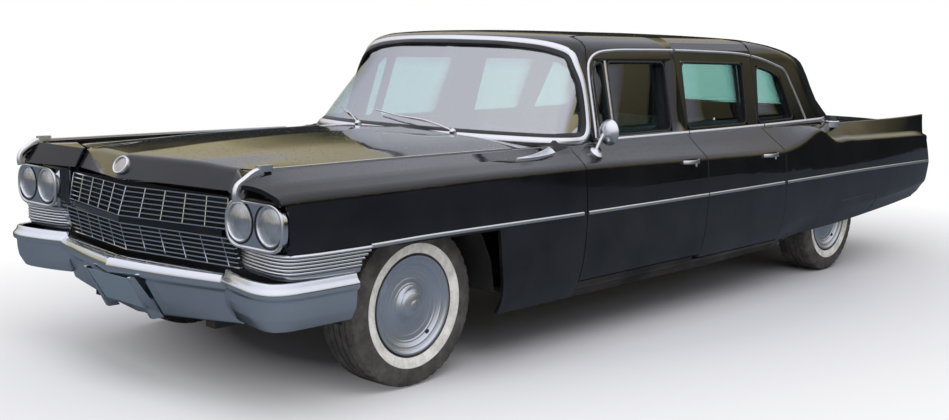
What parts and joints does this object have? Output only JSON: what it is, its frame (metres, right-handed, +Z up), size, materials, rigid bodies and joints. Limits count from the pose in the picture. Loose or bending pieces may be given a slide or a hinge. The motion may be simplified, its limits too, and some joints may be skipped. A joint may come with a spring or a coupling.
{
  "type": "funeral limousine",
  "caption": "Black early-1960s long-wheelbase limousine with six side windows, four doors, tail fins, chrome grille and skirted rear wheels.",
  "frame": {"origin": "on the ground, in the middle of the length and width", "axes": "+Z up, -Y towards the nose, +X the car's left side"},
  "size_m": [2.014, 6.1914, 1.4989],
  "materials": {
    "paint": "gloss black",
    "chrome": "polished",
    "window_glass": "tinted green",
    "lamp_glass": "clear, ribbed",
    "red_lens": "gloss red",
    "pillar_trim": "dark grey",
    "underbody": "matt black",
    "running_gear": "oily",
    "tyre_rubber": "worn, white band",
    "wheel_metal": "satin silver blue",
    "upholstery": "light grey cloth",
    "dash_trim": "black",
    "pipe_steel": "dull",
    "plate_blank": "grey blue, blank"
  },
  "bodies": {
    "body": {"chassis_frame": "underbody", "floor_pan": "underbody", "cowl": "paint", "front_wings": "paint", "quarter_panels": "paint", "roof": "paint", "rear_deck": "paint", "centre_pillars": "pillar_trim", "fixed_glass": "window_glass", "grille": "chrome", "radiator": "underbody", "corner_trim": "chrome", "front_plate": "plate_blank", "headlamps": "chrome", "lamp_glass": "lamp_glass", "front_bumper": "chrome", "rear_bumper": "chrome", "tail_lamps": "red_lens", "front_suspension": "running_gear", "rear_axle": "running_gear", "engine": "running_gear", "wheel_houses": "underbody", "fuel_tank": "pipe_steel", "exhaust": "pipe_steel", "dashboard": "dash_trim", "front_cushion": "upholstery", "front_backrest": "upholstery", "rear_cushion": "upholstery", "rear_backrest": "upholstery"},
    "steering_wheel": {"steering_wheel": "dash_trim"},
    "bonnet": {"bonnet": "paint"},
    "boot_lid": {"boot_lid": "paint"},
    "front_door_left": {"front_door_left": "paint", "front_door_glass_left": "window_glass"},
    "rear_door_left": {"rear_door_left": "paint", "rear_door_glass_left": "window_glass"},
    "knuckle_left": {"knuckle_left": "running_gear"},
    "wheel_front_left": {"tyre_front_left": "tyre_rubber", "wheel_front_left": "wheel_metal"},
    "wheel_rear_left": {"tyre_rear_left": "tyre_rubber", "wheel_rear_left": "wheel_metal"},
    "front_door_right": {"front_door_right": "paint", "front_door_glass_right": "window_glass"},
    "rear_door_right": {"rear_door_right": "paint", "rear_door_glass_right": "window_glass"},
    "knuckle_right": {"knuckle_right": "running_gear"},
    "wheel_front_right": {"tyre_front_right": "tyre_rubber", "wheel_front_right": "wheel_metal"},
    "wheel_rear_right": {"tyre_rear_right": "tyre_rubber", "wheel_rear_right": "wheel_metal"}
  },
  "joints": [
    {"name": "steering_wheel_turn", "type": "hinge", "parent": "body", "child": "steering_wheel", "pos_m": [0.4, -0.68, 0.86], "axis": [0, 0.9063, 0.4226], "range_deg": [-576, 576]},
    {"name": "bonnet_lift", "type": "hinge", "parent": "body", "child": "bonnet", "pos_m": [0, -1.412, 1.01], "axis": [-1, 0, 0], "range_deg": [0, 60]},
    {"name": "boot_lid_lift", "type": "hinge", "parent": "body", "child": "boot_lid", "pos_m": [0, 2.135, 0.966], "axis": [1, 0, 0], "range_deg": [0, 70]},
    {"name": "front_door_left_swing", "type": "hinge", "parent": "body", "child": "front_door_left", "pos_m": [1.0065, -1.174, 0.65], "axis": [0, 0, -1], "range_deg": [0, 65]},
    {"name": "rear_door_left_swing", "type": "hinge", "parent": "body", "child": "rear_door_left", "pos_m": [1.0065, -0.101, 0.65], "axis": [0, 0, -1], "range_deg": [0, 65]},
    {"name": "steer_left", "type": "hinge", "parent": "body", "child": "knuckle_left", "pos_m": [0.662, -2.19, 0.348], "axis": [0, 0, 1], "range_deg": [-32, 32]},
    {"name": "spin_front_left", "type": "hinge", "parent": "knuckle_left", "child": "wheel_front_left", "pos_m": [0.7745, -2.19, 0.348], "axis": [1, 0, 0], "continuous": true},
    {"name": "spin_rear_left", "type": "hinge", "parent": "body", "child": "wheel_rear_left", "pos_m": [0.7745, 1.615, 0.348], "axis": [1, 0, 0], "continuous": true},
    {"name": "front_door_right_swing", "type": "hinge", "parent": "body", "child": "front_door_right", "pos_m": [-1.0065, -1.174, 0.65], "axis": [0, 0, 1], "range_deg": [0, 65]},
    {"name": "rear_door_right_swing", "type": "hinge", "parent": "body", "child": "rear_door_right", "pos_m": [-1.0065, -0.101, 0.65], "axis": [0, 0, 1], "range_deg": [0, 65]},
    {"name": "steer_right", "type": "hinge", "parent": "body", "child": "knuckle_right", "pos_m": [-0.662, -2.19, 0.348], "axis": [0, 0, 1], "range_deg": [-32, 32]},
    {"name": "spin_front_right", "type": "hinge", "parent": "knuckle_right", "child": "wheel_front_right", "pos_m": [-0.7745, -2.19, 0.348], "axis": [1, 0, 0], "continuous": true},
    {"name": "spin_rear_right", "type": "hinge", "parent": "body", "child": "wheel_rear_right", "pos_m": [-0.7745, 1.615, 0.348], "axis": [1, 0, 0], "continuous": true}
  ],
  "couplings": [
    {"joint": "steer_left", "follows": "steering_wheel_turn", "ratio": 0.055556},
    {"joint": "steer_right", "follows": "steering_wheel_turn", "ratio": 0.055556}
  ]
}
